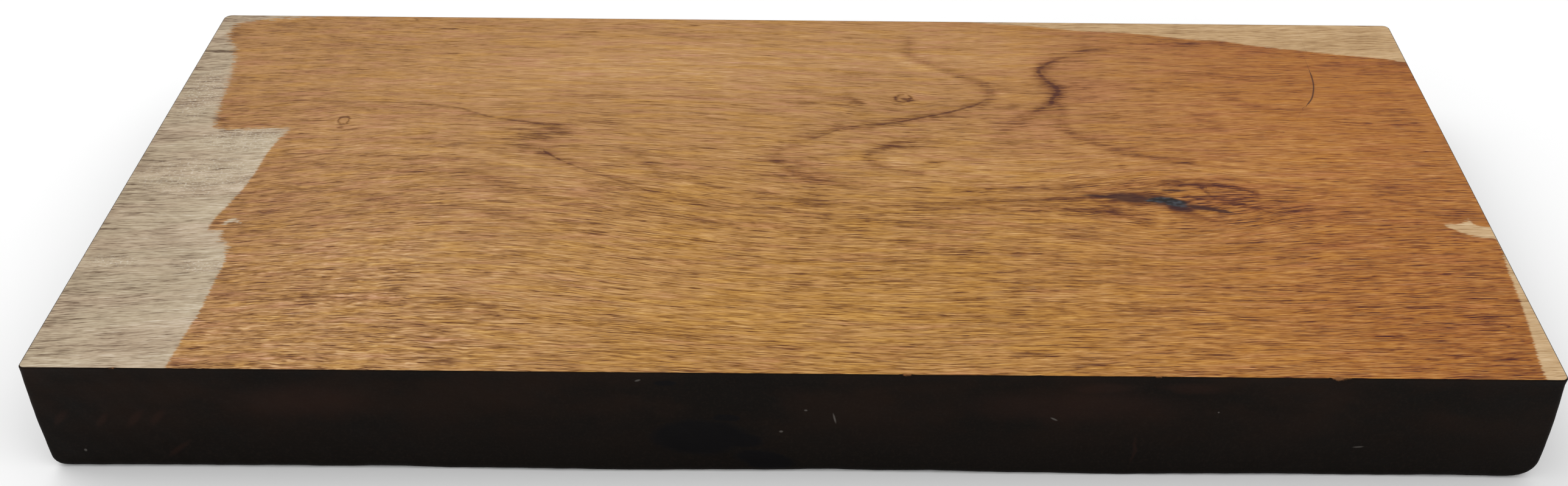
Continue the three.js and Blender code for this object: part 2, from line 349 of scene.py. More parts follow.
def line_distance(x, y, line):
    """How far each place is from the line, the sign of the side that it lies on, and the
    line's third number at the nearest point, or 0 if it has none."""
    best = np.full(x.shape, 1e9)
    side = np.ones(x.shape)
    third = np.zeros(x.shape)
    for start, end in zip(line, line[1:]):
        dx, dy = end[0] - start[0], end[1] - start[1]
        reach = dx * dx + dy * dy
        if reach == 0:
            continue
        off_x, off_y = x - start[0], y - start[1]
        t = unit((off_x * dx + off_y * dy) / reach)
        away = np.hypot(off_x - t * dx, off_y - t * dy)
        closer = away < best
        best = np.where(closer, away, best)
        side = np.where(closer, np.where(dx * off_y - dy * off_x >= 0, 1.0, -1.0), side)
        if len(start) > 2:
            third = np.where(closer, start[2] + t * (end[2] - start[2]), third)
    return best, side, third


def region_distance(x, y, loop):
    """How far each place is inside (positive) or outside (negative) a closed loop."""
    away, _, _ = line_distance(x, y, np.vstack([loop, loop[:1]]))
    inside = np.zeros(x.shape, dtype=bool)
    for (ax, ay), (bx, by) in zip(loop, np.roll(loop, -1, axis=0)):
        spans = (ay > y) != (by > y)
        rise = by - ay if by != ay else 1.0
        inside ^= spans & (x < (bx - ax) * (y - ay) / rise + ax)
    return np.where(inside, away, -away)


def hill(off):
    """1 at 0, and fading out softly past 1 and -1."""
    return np.exp(-(off**2))


def unit(value):
    """The value, held between 0 and 1."""
    return np.clip(value, 0, 1)


def bump(x, y, place_x, place_y, half_x, half_y):
    """A soft round hill of height 1 at a place."""
    return np.exp(-(((x - place_x) / half_x) ** 2) - ((y - place_y) / half_y) ** 2)


def dry_field(x, y):
    """Millimetres inside the dry wood, negative in the wet wood."""
    beyond = 12.0
    left, right = smooth_line(LEFT_WET_EDGE), smooth_line(RIGHT_WET_EDGE, 3)
    far = smooth_line(FAR_WET_EDGE)
    far_end = [(far[-1][0], WIDTH + beyond), (far[0][0], WIDTH + beyond)]
    loops = [np.vstack([far, far_end]), smooth_line(DRY_NICK + DRY_NICK[:1], 3)[:-1]]
    for line, end in ((left, -LENGTH / 2 - beyond), (right, LENGTH / 2 + beyond)):
        loops.append(np.vstack([line, [(end, line[-1][1]), (end, line[0][1])]]))
    return np.max([region_distance(x, y, loop) for loop in loops], axis=0)


def ring_bands(x, y):
    """How dark the soft rings are at each place; negative in the paler bands."""
    total = np.zeros(x.shape)
    for half_width, points in RING_BANDS.values():
        line = smooth_line(points, 3)
        away, _, depth = line_distance(x, y, line)
        total += depth * hill(away / (1.3 * half_width))
    return total


def ring_cores(x, y):
    """Half widths from the nearest fine line, signed for its side, and its strength."""
    nearest = np.full(x.shape, 1e6)
    strength = np.zeros(x.shape)
    for half_width, points in RING_CORES.values():
        line = smooth_line(points)
        away, side, depth = line_distance(x, y, line)
        closer = away / half_width < np.abs(nearest)
        nearest = np.where(closer, side * away / half_width, nearest)
        strength = np.where(closer, depth * hill(away / 3.5), strength)
    return nearest, strength


def grain_fields(x, y):
    """Places along and across the grain, bent round the knots and the arch."""
    across = y + 2.2 * np.sin(x / 62.0 + 0.4) + 0.7 * np.sin(x / 27.0 + y / 31.0)
    # The grain falls to the right under the arch and near the left end
    across += 0.11 * x * bump(x, y, -70, 105, 90, 40)
    across += 0.06 * x * bump(x, y, -120, 40, 90, 34)
    for kx, ky, half_x, half_y, push in GRAIN_KNOTS:
        off = (y - ky) / half_y
        across -= push * off * np.exp(0.5 - 0.5 * off * off - ((x - kx) / half_x) ** 2)
    # The lines of the grain are longer to the right of the wavy grain
    along = np.interp(x, (-260, -130, 260), (-260, -130, 170)) + 3.0 * np.sin(y / 23.0)
    return along, across


def patch_field(x, y, patches):
    """The sum of soft patches."""
    total = np.zeros(x.shape)
    for px, py, half_x, half_y, amount in patches:
        total += amount * bump(x, y, px, py, half_x, half_y)
    return total


def grid_lines(count, length, crowds):
    """Fractions of the length for count + 1 lines, closer together in the last few
    millimetres at both ends and where they crowd together."""
    samples, end_reach, end_amount = 4001, 2.5, 2.2
    place = np.linspace(0.0, length, samples)
    start = end_amount * np.exp(-place / end_reach)
    weight = 1 + (start + end_amount * np.exp(-(length - place) / end_reach))
    for middle, reach, amount in crowds:
        weight += amount * hill((place - middle) / reach)
    total = np.concatenate([[0.0], np.cumsum((weight[1:] + weight[:-1]) / 2)])
    return np.interp(np.linspace(0.0, total[-1], count + 1), total, place) / length


def foot_wander():
    """How the near side's foot radius wanders along the block, in fractions and mm."""
    places = np.linspace(0.0, 1.0, 161)
    return places, [0.9 * noise.noise(Vector((p * 21.0, 2.5, 0))) for p in places]


FOOT_WANDER = foot_wander()


def foot_inset(radius, z):
    """How far a quarter round of this radius draws a side in at height z."""
    rise = np.clip(radius - z, 0, None)
    return radius - np.sqrt(np.clip(radius**2 - rise**2, 0, None))


def section(s, t, z, eased):
    """Plan places of the grid fractions s and t on the block's section at height z."""
    wander = np.interp(s, *FOOT_WANDER) * unit(1 - z / 6)
    swell = END_SWELL * (2 * z / THICKNESS - 1) ** 2
    near = foot_inset(FOOT["near"] + wander, z) + eased
    far = foot_inset(FOOT["far"], z) + eased
    left = -LENGTH / 2 + (foot_inset(FOOT["left"], z) + eased + swell)
    right = LENGTH / 2 - (foot_inset(FOOT["right"], z) + eased + swell)
    x = left + s * (right - left)
    y = near + t * (WIDTH - near - far)

    # The corners are round, and rounder towards the foot
    on_right, on_far = s > 0.5, t > 0.5
    foot = np.where(on_right, foot_inset(FOOT["right"], z), foot_inset(FOOT["left"], z))
    radius = foot / 2 + np.select(
        [on_right & on_far, on_right, on_far],
        [CORNER["far_right"], CORNER["near_right"], CORNER["far_left"]],
        CORNER["near_left"],
    )
    from_x = np.where(on_right, right - x, x - left)
    from_y = np.where(on_far, WIDTH - far - y, y - near)
    a, b = radius - from_x, radius - from_y
    inside = (a > 0) & (b > 0)
    squeeze = np.where(inside, np.maximum(a, b) / np.maximum(np.hypot(a, b), 1e-9), 1.0)
    x = x + np.where(on_right, -1, 1) * (a - a * squeeze)
    y = y + np.where(on_far, -1, 1) * (b - b * squeeze)

    # The long sides dip inwards in slow waves, but not at the planed edge
    below = unit((THICKNESS - EASED_EDGE - z) / 12)
    off_middle = 2 * y / WIDTH - 1
    phase = np.where(off_middle < 0, 0.9, 3.7)
    wave = np.sin(2 * np.pi * x / SIDE_WAVE_LENGTH + phase + z / 18)
    dip = SIDE_DIP * below * (0.5 + 0.5 * wave) * np.abs(off_middle) ** 8
    return x, y - np.sign(off_middle) * dip


def noise_at(points, size, seed):
    """Smooth noise of about -1 to 1 at each point, with lumps of this size in mm."""
    scale = np.broadcast_to(np.asarray(size, dtype=float), (3,))
    return np.array([noise.noise(Vector(p / scale) + Vector((seed, 0, 0))) for p in points])


def coat_relief(points, side):
    """How far the sealed side lies inside its fullest form, in mm: brushed coat over
    sawn wood, with slanting saw marks on the long sides and upright ones on the ends."""
    broad = noise_at(points, (46, 46, 24), 3.1)
    lumps = noise_at(points, (11, 11, 6), 8.7)
    fine = noise_at(points, (4, 4, 3), 5.3)
    x, y, z = points.T
    drift = 5.0 * noise_at(points, (60, 60, 30), 1.7)
    slant = np.sin(2 * np.pi * (x + 0.75 * z + drift) / 10.5)
    upright = np.sin(2 * np.pi * (y + 0.12 * z + drift) / 6.2)
    saw = np.where(side, slant * 0.05, upright * 0.06)
    relief = 0.3 + 0.2 * broad + 0.09 * lumps + 0.04 * fine + saw
    top_fade = unit((THICKNESS - EASED_EDGE - z) / 1.6)
    return np.clip(relief, 0.0, 0.7) * top_fade * unit(z / 0.6)


def chip_depth(x, y, z):
    """How deep the chips in the near top edge are at each point, in mm."""
    depth = np.zeros(x.shape)
    reach_down, reach_in = 1.7, 4.0
    reach = unit(1 - (THICKNESS - z) / reach_down)
    for middle, half_length, deep in EDGE_CHIPS:
        off = (x - middle) / half_length
        ragged = unit(1 - off * off) ** 0.7 * (0.8 + 0.2 * np.sin(x * 3.1))
        depth = np.maximum(depth, deep * ragged)
    return depth * reach * unit(1 - y / reach_in)


def edge_wander(x):
    """The near edge's fine unevenness, in mm."""
    return np.array([0.09 * abs(noise.noise(Vector((v / 3.0, 4.4, 0)))) + 0.08
                     * abs(noise.noise(Vector((v / 11.0, 9.1, 0)))) for v in x])


def top_points(s_lines, t_lines):
    """The top face's grid. Its near edge follows the chips, and drops with them."""
    s, t = np.meshgrid(s_lines, t_lines, indexing="ij")
    x, y = section(s.ravel(), t.ravel(), THICKNESS, EASED_EDGE)
    top = np.column_stack([x, y, np.full(x.shape, THICKNESS)])
    edge_move = chip_depth(*top.T) + edge_wander(top[:, 0]) * unit(1 - top[:, 1])
    top[:, 1] += edge_move * unit(1 - top[:, 1] / 2.5)
    top[:, 2] -= 0.7 * chip_depth(*top.T) * unit(1 - top[:, 1] / 1.6)
    return top


def side_levels():
    """Heights of the rings down the sides, each with how far the eased edge draws it in."""
    levels = []
    for turn in np.radians([30, 60, 90]):
        drop = EASED_EDGE * (1 - math.cos(turn))
        levels.append((THICKNESS - drop, EASED_EDGE * (1 - math.sin(turn))))
    walls = np.arange(WALL_TOP, FOOT_HEIGHTS[0] + WALL_STEP / 2, -WALL_STEP)
    return levels + [(z, 0.0) for z in (*walls, *FOOT_HEIGHTS)]


def side_ring(s, t, z, eased, long_side):
    """A ring of points round the sides, with the coat's relief and the chips."""
    x, y = section(s, t, z, eased)
    ring = np.column_stack([x, y, np.full(x.shape, z)])
    ahead = np.roll(ring, -1, axis=0) - np.roll(ring, 1, axis=0)
    outward = np.column_stack([ahead[:, 1], -ahead[:, 0]])
    outward /= np.linalg.norm(outward, axis=1)[:, None]
    inward = coat_relief(ring, long_side) + chip_depth(*ring.T)
    inward += edge_wander(x) * unit(1 - y / 3) * unit((z - WALL_TOP) / 3 + 1)
    ring[:, :2] -= outward * inward[:, None]
    return ring


def under_points(s_lines, t_lines, last_ring):
    """The underside's coarser grid, inside the last ring."""
    rim = 3.0
    s, t = np.meshgrid(s_lines[::UNDER_STEP], t_lines[::UNDER_STEP], indexing="ij")
    lo, hi = last_ring.min(axis=0), last_ring.max(axis=0)
    return np.column_stack([
        lo[0] + rim + s.ravel() * (hi[0] - lo[0] - 2 * rim),
        lo[1] + rim + t.ravel() * (hi[1] - lo[1] - 2 * rim),
        np.zeros(s.size),
    ])


def chart_spot(chart, u, v):
    """The place on the map of the fractions u and v of a chart."""
    left, right, bottom, top = CHARTS[chart]
    return left + u * (right - left), bottom + v * (top - bottom)


class Skin:
    """The faces, with their corners' places on the map and the numbers of their materials."""

    def __init__(self):
        self.faces, self.maps, self.slots = [], [], []

    def put(self, corners, spots, slot):
        self.faces.append([int(c) for c in corners])
        self.maps.extend(spots)
        self.slots.append(slot)

    def put_top(self, s_lines, t_lines):
        for i in range(GRID_X):
            for j in range(GRID_Y):
                grid = [(i, j), (i + 1, j), (i + 1, j + 1), (i, j + 1)]
                self.put([a * (GRID_Y + 1) + b for a, b in grid],
                         [chart_spot("top", s_lines[a], t_lines[b]) for a, b in grid], TOP_SLOT)

    def put_sides(self, loops, levels, s_lines, t_lines):
        """The bands of faces between the loops of points, from the top edge down."""
        depth = [0.0]
        for upper, lower in zip([(THICKNESS, EASED_EDGE), *levels], levels):
            depth.append(depth[-1] + max(0.35, math.hypot(upper[0] - lower[0], 0.3)))
        down = [1 - d / depth[-1] for d in depth]
        runs = (s_lines, t_lines, 1 - s_lines[::-1], 1 - t_lines[::-1])
        p = 0
        for level, (upper, lower) in enumerate(zip(loops, loops[1:])):
            for side, run in zip(SIDES, runs):
                for k in range(len(run) - 1):
                    q = (p + 1) % len(upper)
                    grid = [(k, level), (k, level + 1), (k + 1, level + 1), (k + 1, level)]
                    self.put([upper[p], lower[p], lower[q], upper[q]],
                             [chart_spot(side, run[a], down[b]) for a, b in grid], SIDE_SLOT)
                    p = q

    def put_under(self, points, start, rim_loop, i_loop, j_loop):
        """The underside's grid of faces, and the fans that join it to the last ring."""
        across = GRID_Y // UNDER_STEP + 1

        def index(i, j):
            return start + i * across + j

        def put(*corners):
            spots = [chart_spot("under", points[c][0] / LENGTH + 0.5, points[c][1] / WIDTH)
                     for c in corners]
            self.put(corners, spots, UNDER_SLOT)

        for i in range(GRID_X // UNDER_STEP):
            for j in range(across - 1):
                put(index(i, j), index(i, j + 1), index(i + 1, j + 1), index(i + 1, j))
        inner = index(i_loop[::UNDER_STEP] // UNDER_STEP, j_loop[::UNDER_STEP] // UNDER_STEP)
        for k, (here, after) in enumerate(zip(inner, np.roll(inner, -1))):
            rim = np.roll(rim_loop, -k * UNDER_STEP)[:UNDER_STEP + 1]
            put(rim[0], here, rim[1])
            put(rim[1], here, rim[2])
            put(here, after, rim[2])
            put(rim[2], after, rim[3])
            put(rim[3], after, rim[4])


def add_fields(mesh, points):
    """Gives each point the numbers that the materials read."""
    x, y, z = points.T
    along, across = grain_fields(x, y)
    core, core_strength = ring_cores(x, y)
    hair, hair_side, _ = line_distance(x, y, smooth_line(HAIR))
    fields = {
        "along": along, "across": across, "dry": dry_field(x, y), "ring": ring_bands(x, y),
        "core": core, "core_strength": core_strength, "hair": hair * hair_side,
        "light": patch_field(x, y, LIGHT_PATCHES), "hue": patch_field(x, y, HUE_PATCHES),
        "chipped": chip_depth(x, y, z),
    }
    for name, values in fields.items():
        attribute = mesh.attributes.new(name, "FLOAT", "POINT")
        attribute.data.foreach_set("value", values.astype(np.float32))


def build_mesh():
    """The closed mesh of the billet, with its fields, its materials' faces and its map."""
    s_lines = grid_lines(GRID_X, LENGTH, CROWDED_X)
    t_lines = grid_lines(GRID_Y, WIDTH, CROWDED_Y)

    # The loop of grid points round the edge, anticlockwise from the near left corner
    i_loop = np.array([*range(GRID_X), *[GRID_X] * GRID_Y, *range(GRID_X, 0, -1), *[0] * GRID_Y])
    j_loop = np.array([*[0] * GRID_X, *range(GRID_Y), *[GRID_Y] * GRID_X, *range(GRID_Y, 0, -1)])
    around = len(i_loop)
    long_side = np.repeat([True, False, True, False], [GRID_X, GRID_Y, GRID_X, GRID_Y])

    top = top_points(s_lines, t_lines)
    levels = side_levels()
    rings = [side_ring(s_lines[i_loop], t_lines[j_loop], z, eased, long_side)
             for z, eased in levels]
    points = np.vstack([top, *rings, under_points(s_lines, t_lines, rings[-1])])
    ring_loops = len(top) + np.arange(len(rings) * around).reshape(-1, around)
    loops = [i_loop * (GRID_Y + 1) + j_loop, *ring_loops]

    skin = Skin()
    skin.put_top(s_lines, t_lines)
    skin.put_sides(loops, levels, s_lines, t_lines)
    skin.put_under(points, len(top) + ring_loops.size, loops[-1], i_loop, j_loop)

    # The mesh, in metres in the row's frame
    mesh = bpy.data.meshes.new("mahogany_billet")
    for material in (planed_mahogany(), sealed_side(), sawn_underside()):
        mesh.materials.append(material)
    placed = points + np.array([0.0, NEAR_EDGE, 0.0])
    mesh.from_pydata((placed * MM).tolist(), [], skin.faces)
    mesh.polygons.foreach_set("material_index", skin.slots)
    mesh.polygons.foreach_set("use_smooth", [True] * len(skin.faces))
    layer = mesh.uv_layers.new(name="OFBake")
    layer.data.foreach_set("uv", np.array(skin.maps, dtype=np.float32).ravel())
    add_fields(mesh, points)
    mesh.validate()
    mesh.update()
    return mesh


class Value:
    """What a node gives. Sums, differences and products of values add math nodes."""

    def __init__(self, shader, socket):
        self.shader, self.socket = shader, socket

    def __add__(self, other):
        return self.shader.math("ADD", self, other)

    def __radd__(self, other):
        return self.shader.math("ADD", other, self)

    def __sub__(self, other):
        return self.shader.math("SUBTRACT", self, other)

    def __rsub__(self, other):
        return self.shader.math("SUBTRACT", other, self)

    def __mul__(self, other):
        return self.shader.math("MULTIPLY", self, other)

    def __abs__(self):
        return self.shader.node("Math", {0: self}, operation="ABSOLUTE")


class Shader:
    """Builds one material. Each call adds nodes and gives the value that comes out."""

    def __init__(self, name):
        self.material = bpy.data.materials.new(name)
        self.material.use_nodes = True
        self.tree = self.material.node_tree
        self.tree.nodes.clear()
        self.output = self.tree.nodes.new("ShaderNodeOutputMaterial")

    def node(self, kind, inputs, output=0, **settings):
        """An output of a new node, whose inputs are given by name or number."""
        node = self.tree.nodes.new("ShaderNode" + kind)
        for name, setting in settings.items():
            setattr(node, name, setting)
        for key, value in inputs.items():
            if isinstance(value, Value):
                self.tree.links.new(value.socket, node.inputs[key])
            else:
                node.inputs[key].default_value = value
        return Value(self, node.outputs[output])

    def math(self, operation, *values):
        """One operation on two values, or from left to right on more of them."""
        total = values[0]
        for value in values[1:]:
            total = self.node("Math", {0: total, 1: value}, operation=operation)
        return total

    def most(self, *values):
        return self.math("MAXIMUM", *values)

    def field(self, name):
        return self.node("Attribute", {}, "Fac", attribute_name=name)

    def place(self):
        """The point on the object in millimetres, from the middle of the near top edge."""
        metres = self.node("TexCoord", {}, "Object")
        scaled = self.node("VectorMath", {0: metres, "Scale": 1 / MM}, operation="SCALE")
        return self.node(
            "VectorMath", {0: scaled, 1: (0.0, NEAR_EDGE, 0.0)}, operation="SUBTRACT"
        )

    def parts(self, vector):
        node = self.node("SeparateXYZ", {0: vector}).socket.node
        return [Value(self, socket) for socket in node.outputs]

    def join(self, x, y):
        return self.node("CombineXYZ", {0: x, 1: y})

    def moved(self, at, x, y):
        """The place at, moved by x and y."""
        return self.node("VectorMath", {0: at, 1: self.join(x, y)}, operation="ADD")

    def noise(self, at, size, detail=2, rough=0.5, shift=0.0):
        """Noise of 0 to 1 with lumps of this size in mm, flat where it has two numbers."""
        scale = [1 / s for s in (*size, 1)[:3]]
        place = (shift, shift * 1.7, shift * 0.6)
        scaled = self.node("Mapping", {"Vector": at, "Location": place, "Scale": scale})
        looks = {"Vector": scaled, "Scale": 1.0, "Detail": detail, "Roughness": rough}
        return self.node("TexNoise", looks, "Fac", noise_dimensions="%dD" % len(size))

    def step(self, value, low, high):
        """0 up to low, 1 from high on, and a smooth rise between. low may be the larger."""
        inputs = {"Value": value, "From Min": low, "From Max": high}
        return self.node("MapRange", inputs, interpolation_type="SMOOTHSTEP")

    def signed(self, value, amount):
        """Noise of 0 to 1 as -amount to amount."""
        return (value - 0.5) * (2 * amount)

    def mix(self, share, a, b, blend_type="MIX"):
        """The colour a, or b as share goes to 1."""
        return self.node("MixRGB", {0: share, 1: a, 2: b}, blend_type=blend_type)

    def tint(self, colour, factors):
        """A colour times three factors."""
        return self.mix(1.0, colour, (*factors, 1.0), "MULTIPLY")

    def blend(self, share, a, b):
        """The number a, or b as share goes to 1."""
        return (1.0 - share) * a + share * b

    def ramp(self, value, stops):
        """The colour that the stops have at this value."""
        colour = self.node("ValToRGB", {0: value})
        elements = colour.socket.node.color_ramp.elements
        while len(elements) < len(stops):
            elements.new(0.5)
        for element, (position, stop_colour) in zip(elements, stops):
            element.position = position
            element.color = stop_colour
        return colour

    def spots(self, at, marks, soft=0.45):
        """1 inside any of the oval marks, fading out round them."""
        inside = 0.0
        for x, y, half_x, half_y, *turn in marks:
            turned = self.node("Mapping", {
                "Vector": at,
                "Location": (x, y, 0),
                "Rotation": (0, 0, math.radians(turn[0] if turn else 0)),
                "Scale": (half_x * (1 + soft), half_y * (1 + soft), 1),
            }, vector_type="TEXTURE")
            ball = self.node("TexGradient", {0: turned}, "Fac", gradient_type="SPHERICAL")
            inside = self.most(inside, ball)
        return self.step(inside, 0.0, 2 * soft / (1 + soft))

    def finish(self, colour, roughness, height, bump_mm, specular):
        """The surface, with its bumps from a height of 0 to 1 worth bump_mm."""
        relief = self.node("Bump", {"Height": height, "Distance": bump_mm * MM, "Strength": 1.0})
        surface = self.node("BsdfPrincipled", {
            "Base Color": colour,
            "Roughness": roughness,
            "Normal": relief,
            "Specular IOR Level": specular,
        })
        self.tree.links.new(surface.socket, self.output.inputs["Surface"])
        return self.material


def wood_tones(*colours):
    """Stops of a ramp from the wood's dark pores to its palest flecks."""
    return [(place, seen(*c)) for place, c in zip((0.0, 0.2, 0.5, 0.8, 1.0), colours)]


# Wet wood from its dark pores to its palest flecks: at the left, in the yellower
# middle and at the redder right end
WET_LEFT = wood_tones(
    (96, 58, 20), (144, 101, 53), (178, 132, 84), (195, 149, 99), (218, 177, 130),
)
WET_MIDDLE = wood_tones(
    (94, 56, 10), (143, 97, 40), (180, 132, 77), (197, 149, 90), (218, 172, 114),
)
WET_RIGHT = wood_tones(
    (76, 36, 10), (130, 74, 28), (171, 110, 55), (188, 130, 71), (210, 155, 96),
)
# The same wood dry, pale and grey at the left end, and warmer at the right
DRY_LEFT = wood_tones(
    (98, 80, 66), (146, 127, 105), (183, 165, 139), (199, 183, 157), (220, 207, 186),
)
DRY_RIGHT = wood_tones(
    (132, 98, 68), (170, 136, 98), (195, 162, 120), (210, 178, 138), (220, 192, 154),
)


def planed_mahogany():
    """The top face: planed mahogany, wet over most of it and dry at the edges."""
    m = Shader("planed_mahogany")
    x, y, _ = m.parts(m.place())
    at = m.join(x, y)
    straight = m.join(m.field("along"), m.field("across"))

    # The grain sways a little, and more in the interlocked grain at the near left
    figure = m.step(x, -30, -140) * m.step(y, 90, 50) * m.step(x, -230, -195)
    sway = m.signed(m.noise(straight, (44, 12), detail=1, shift=2.2), 1.0)
    ripple = m.signed(m.noise(straight, (9, 3), detail=1, shift=5.2), 0.6)
    ripple = ripple * m.blend(figure, 0.25, 0.9)
    grain = m.join(m.field("along"), m.field("across") + sway + ripple)

    # Bands, streaks, fibres and pores of the grain, each finer than the last
    bands = m.noise(grain, (90, 8), detail=3, rough=0.55, shift=1.3)
    streaks = m.noise(grain, (24, 1.9), detail=3, rough=0.6, shift=4.1)
    fibres = m.noise(grain, (12, 0.6), detail=3, rough=0.75, shift=7.9)
    fine = m.noise(grain, (5, 0.26), rough=0.6, shift=9.7)
    crowd = m.signed(m.noise(grain, (26, 2.6), shift=15.8), 0.12)
    long_pores = m.noise(grain, (15, 0.28), detail=1, shift=12.4)
    long_pores = m.step(long_pores + crowd, 0.56, 0.68)
    short_pores = m.noise(grain, (5, 0.25), detail=1, shift=26.3)
    short_pores = m.step(short_pores + crowd, 0.57, 0.69)
    calm = m.step(x, 60, 180) * m.step(y, 90, 50)
    coarseness = m.blend(m.step(y, 210, 40), 0.82, 1.4) * m.blend(calm, 1.0, 0.95)

    # Wavy pale flecks in the interlocked grain
    flecks = m.step(m.noise(grain, (5.5, 1.1), detail=1, shift=21.0), 0.5, 0.66)
    fleck_zone = figure * m.step(m.noise(at, (40, 14), shift=3.3), 0.35, 0.6)

    # Dry or wet: the wet edge runs out along the fibres
    edge_fibres = m.noise(at, (7, 0.45), rough=0.6, shift=30.0)
    ragged = m.most(m.step(y, 125, 150), m.step(abs(y - 68), 10, 4))
    finger = m.blend(m.step(x, -150, -180) * ragged, 1.5, 4.6)
    dry = m.step(m.field("dry") + m.signed(edge_fibres, 1.0) * finger, -0.35, 0.45)
    rim = m.step(abs(m.field("dry") + 3.0), 5.0, 0.0)

    # Ring bands, made of darker streaks, and the fine lines at their hearts
    ring = m.field("ring")
    ring_dark = m.most(ring, 0.0) * (1.0 + m.signed(fibres, -0.9))
    ring_pale = m.most(ring * -1.0, 0.0)
    line_break = m.noise(grain, (7, 0.9), shift=17.0)
    core = abs(m.field("core")) + m.signed(line_break, 0.9)
    core = m.step(core, 2.0, 0.3) * m.field("core_strength") * m.step(line_break, 0.7, 0.45)

    # Marks and knots, feathered along the grain
    feather = m.noise(at, (7, 0.55), rough=0.6, shift=6.6)
    lump = m.noise(at, (3.2, 1.6), detail=1, shift=8.8)
    marks_at = m.moved(at, m.signed(feather, 4.0), m.signed(lump, 0.3))
    knot_at = m.moved(at, m.signed(feather, 2.4), m.signed(lump, 0.5))
    eye = m.spots(knot_at, KNOT_EYE, 0.3)
    knot_brown = m.spots(knot_at, KNOT_BROWN)
    russet = m.spots(knot_at, KNOT_RUSSET, 0.8)
    brown = m.spots(marks_at, BROWN_MARKS, 0.5)
    grey = m.spots(marks_at, GREY_STREAKS, 0.5)
    pin_at = m.moved(at, m.signed(lump, 0.8), m.signed(feather, 0.5))
    rings = []
    for kx, ky, half_x, half_y in PIN_KNOTS:
        outer = m.spots(pin_at, [(kx, ky, half_x * 1.15, half_y * 1.15)], 0.25)
        inner = m.spots(pin_at, [(kx, ky, half_x * 0.8, half_y * 0.8)], 0.3)
        rings.append(outer * (1.0 - inner))
    pin_rings = m.most(*rings) * m.step(lump, 0.25, 0.5)
    hair = m.step(abs(m.field("hair")), 0.42, 0.2)

    # All of it as one tone, 0.5 in the middle of the wood's colours
    texture = (m.signed(streaks, 0.04) + m.signed(fibres, 0.54) + m.signed(fine, 0.48)
               + long_pores * -0.36 + short_pores * -0.30 + 0.11)
    tone = (0.5 + m.signed(bands, 0.15) + texture * coarseness + flecks * fleck_zone * 0.32
            + fleck_zone * -0.09 + m.field("light") + ring_dark * -0.32 + ring_pale * 0.17
            + core * -0.36 + brown * -0.34 + russet * -0.24 + pin_rings * -0.52
            + rim * -0.05 + m.step(y, 200, 204) * -0.03)
    dry_tone = (0.5 + m.signed(m.noise(grain, (120, 7), shift=33.0), 0.26) + texture
                + grey * -0.32 + brown * -0.40 + m.step(x, -232, -250) * -0.12
                + m.step(m.field("dry"), 16, 3) * m.step(y, 160, 120) * 0.12)

    # Colour: yellow in the near middle, redder to the right, purple along the rings
    to_middle = m.step(x, -150, -20) * m.step(y, 170, 60)
    wet_colour = m.mix(to_middle, m.ramp(tone, WET_LEFT), m.ramp(tone, WET_MIDDLE))
    wet_colour = m.mix(m.step(x, 20, 225), wet_colour, m.ramp(tone, WET_RIGHT))
    hue_noise = m.signed(m.noise(grain, (26, 3.6), detail=3, rough=0.65, shift=40.0), 2.0)
    hue = m.field("hue") + hue_noise + ring_dark * -0.3 + 0.05
    warm = m.tint(wet_colour, (1.03, 1.01, 0.74))
    plum = m.tint(wet_colour, (0.98, 0.91, 1.09))
    wet_colour = m.mix(m.step(hue, 0.0, 0.8), wet_colour, warm)
    wet_colour = m.mix(m.step(hue, 0.0, -0.8), wet_colour, plum)
    wet_colour = m.mix(core * 0.6, wet_colour, seen(88, 52, 32))

    # The dry wood turns from pale grey, pinker in places, to warm at the right
    pink_share = m.step(m.noise(grain, (60, 12), shift=50.0), 0.40, 0.66)
    dry_left = m.ramp(dry_tone, DRY_LEFT)
    dry_left = m.mix(pink_share, dry_left, m.tint(dry_left, (1.0, 0.965, 0.975)))
    dry_colour = m.mix(m.step(x, 0, 120), dry_left, m.ramp(dry_tone, DRY_RIGHT))

    # Painted glints: white sparkles of light painted into the dry wood's colour near the wet edge
    glint_zone = m.most(m.spots(at, SPARKLES, 0.4), m.spots(at, SOFT_SPARKLES, 0.6))
    painted_glints = m.step(m.noise(at, (1.1, 0.6), shift=60.0), 0.56, 0.70)
    dry_colour = m.mix(painted_glints * (glint_zone * 0.4), dry_colour, seen(236, 228, 212))

    # The two woods together, and over them the knot and the hair
    colour = m.mix(dry, wet_colour, dry_colour)
    colour = m.mix(russet * 0.35, colour, seen(112, 62, 34))
    colour = m.mix(knot_brown * 0.9, colour, seen(64, 37, 30))
    eye_colour = m.mix(m.step(lump, 0.35, 0.7), seen(40, 34, 36), seen(72, 76, 82))
    colour = m.mix(eye * 0.92, colour, eye_colour)
    colour = m.mix(hair * 0.8, colour, seen(66, 42, 30))
    roughness = 0.52 + dry * 0.2 + m.signed(streaks, 0.08)
    height = (long_pores * -0.6 + m.signed(fibres, 0.3) + m.signed(streaks, 0.1)
              + m.most(eye, hair) * -0.3)
    return m.finish(colour, roughness, height, 0.05, 0.2)


